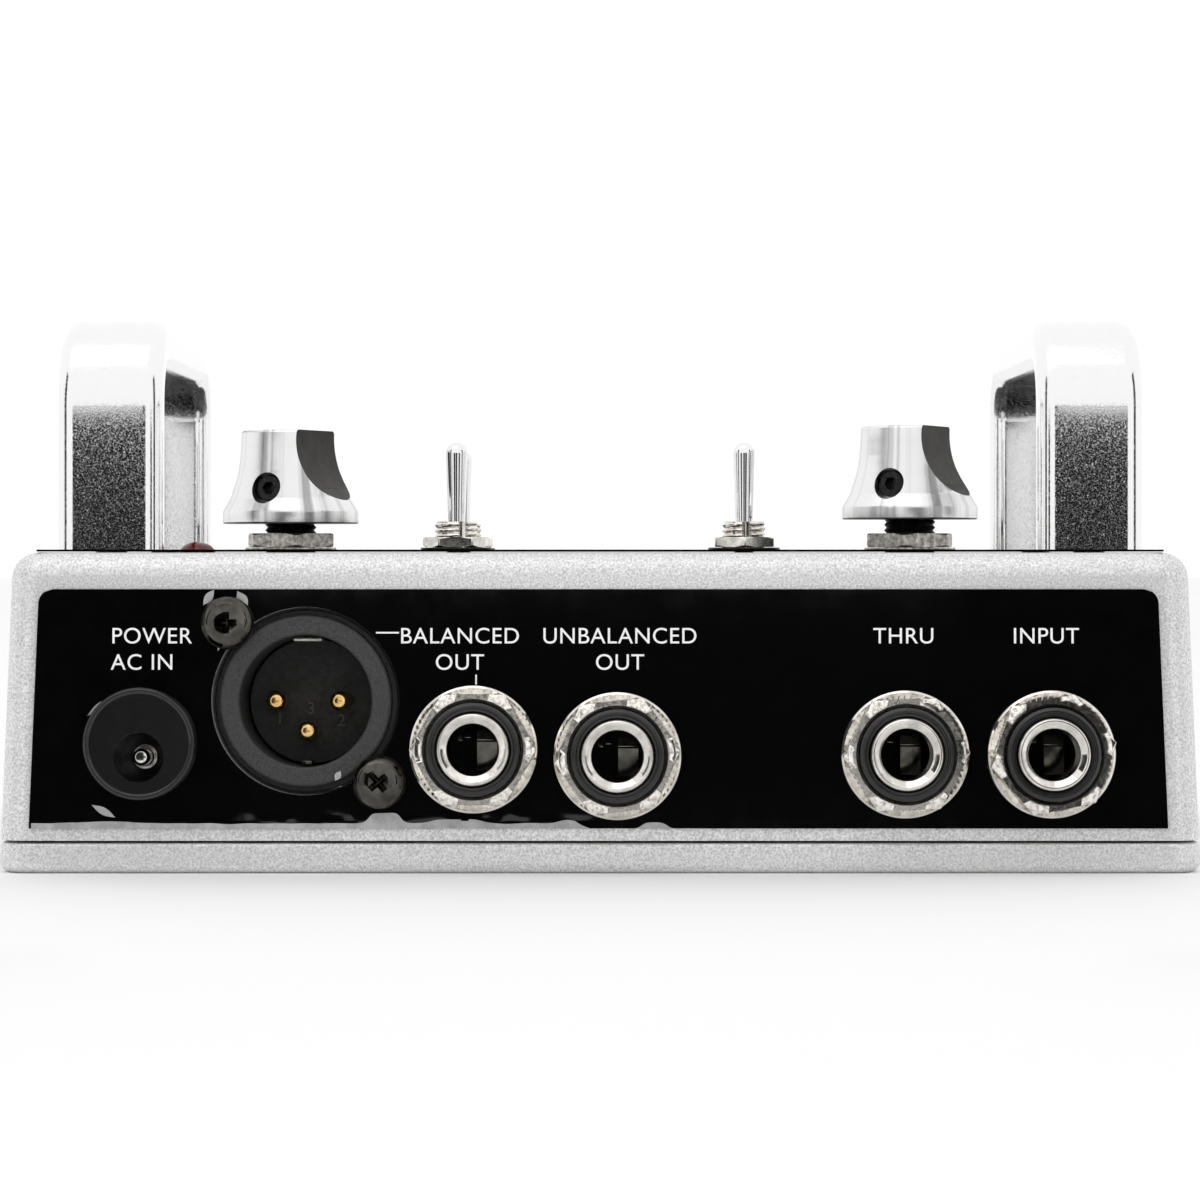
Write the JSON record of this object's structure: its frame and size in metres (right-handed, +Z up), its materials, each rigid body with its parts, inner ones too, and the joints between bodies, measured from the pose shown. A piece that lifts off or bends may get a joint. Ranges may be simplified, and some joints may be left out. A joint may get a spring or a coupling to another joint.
{
  "type": "direct injection box",
  "caption": "Die-cast direct injection box with rear jacks, an XLR output and a power socket, and with knobs, toggle switches and lifting handles on top.",
  "frame": {"origin": "middle of the flat underside that the box stands on", "axes": "+Z up, -Y out of the jack panel, +X to the right of someone facing the jack panel"},
  "size_m": [0.147, 0.1256, 0.0692],
  "materials": {
    "cast_aluminium": "tumbled die casting, bare, fine speckle",
    "label_film": "glossy black film, slightly wrinkled",
    "polished_handle": "polished, fine grain",
    "black_steel": "black nickel plate",
    "turned_aluminium": "bright turned",
    "steel": "plain",
    "nickel": "nickel plate",
    "chrome": "bright chrome plate",
    "black_plastic": "moulded, matt",
    "gloss_black_plastic": "moulded, glossy",
    "gold": "gold plate",
    "red_lens": "clear dark red, unlit",
    "circuit_board": "green solder mask"
  },
  "bodies": {
    "box": {"base_plate": "cast_aluminium", "base_screw_1": "black_steel", "base_screw_2": "black_steel", "base_screw_3": "black_steel", "base_screw_4": "black_steel", "enclosure_body": "cast_aluminium", "handle_left": "polished_handle", "handle_right": "polished_handle", "handle_screw_1": "black_steel", "handle_screw_2": "black_steel", "handle_screw_3": "black_steel", "handle_screw_4": "black_steel", "jack_body_balanced": "black_plastic", "jack_body_input": "black_plastic", "jack_body_thru": "black_plastic", "jack_body_unbalanced": "black_plastic", "jack_nut_balanced": "nickel", "jack_nut_input": "nickel", "jack_nut_thru": "nickel", "jack_nut_unbalanced": "nickel", "jack_sleeve_balanced": "nickel", "jack_sleeve_input": "nickel", "jack_sleeve_thru": "nickel", "jack_sleeve_unbalanced": "nickel", "main_board": "circuit_board", "output_transformer": "steel", "pot_body_left": "black_steel", "pot_body_right": "black_steel", "pot_nut_left": "nickel", "pot_nut_right": "nickel", "power_led": "red_lens", "power_socket": "gloss_black_plastic", "power_socket_pin": "nickel", "rear_label": "label_film", "toggle_bushing_far": "nickel", "toggle_bushing_left": "nickel", "toggle_bushing_right": "nickel", "toggle_case_far": "black_plastic", "toggle_case_left": "black_plastic", "toggle_case_right": "black_plastic", "toggle_nut_far": "nickel", "toggle_nut_left": "nickel", "toggle_nut_right": "nickel", "top_label": "label_film", "xlr_insert": "black_plastic", "xlr_pin_1": "gold", "xlr_pin_2": "gold", "xlr_pin_3": "gold", "xlr_screw_lower": "black_steel", "xlr_screw_upper": "black_steel", "xlr_shell": "black_plastic"},
    "knob_left": {"knob_left": "turned_aluminium", "knob_grub_screw_left": "black_steel", "pot_shaft_left": "steel"},
    "knob_right": {"knob_right": "turned_aluminium", "knob_grub_screw_right": "black_steel", "pot_shaft_right": "steel"},
    "toggle_left": {"toggle_lever_left": "chrome"},
    "toggle_right": {"toggle_lever_right": "chrome"},
    "toggle_far": {"toggle_lever_far": "chrome"}
  },
  "joints": [
    {"name": "knob_left_turn", "type": "hinge", "parent": "box", "child": "knob_left", "pos_m": [-0.0422, 0, 0.0391], "axis": [0, 0, 1], "range_deg": [-150, 150]},
    {"name": "knob_right_turn", "type": "hinge", "parent": "box", "child": "knob_right", "pos_m": [0.0422, 0, 0.0391], "axis": [0, 0, 1], "range_deg": [-150, 150]},
    {"name": "toggle_left_flip", "type": "hinge", "parent": "box", "child": "toggle_left", "pos_m": [-0.0196, 0, 0.0406], "axis": [1, 0, 0], "range_deg": [-12, 12]},
    {"name": "toggle_right_flip", "type": "hinge", "parent": "box", "child": "toggle_right", "pos_m": [0.0196, 0, 0.0406], "axis": [1, 0, 0], "range_deg": [-12, 12]},
    {"name": "toggle_far_flip", "type": "hinge", "parent": "box", "child": "toggle_far", "pos_m": [-0.0204, 0.044, 0.0406], "axis": [1, 0, 0], "range_deg": [-12, 12]}
  ]
}
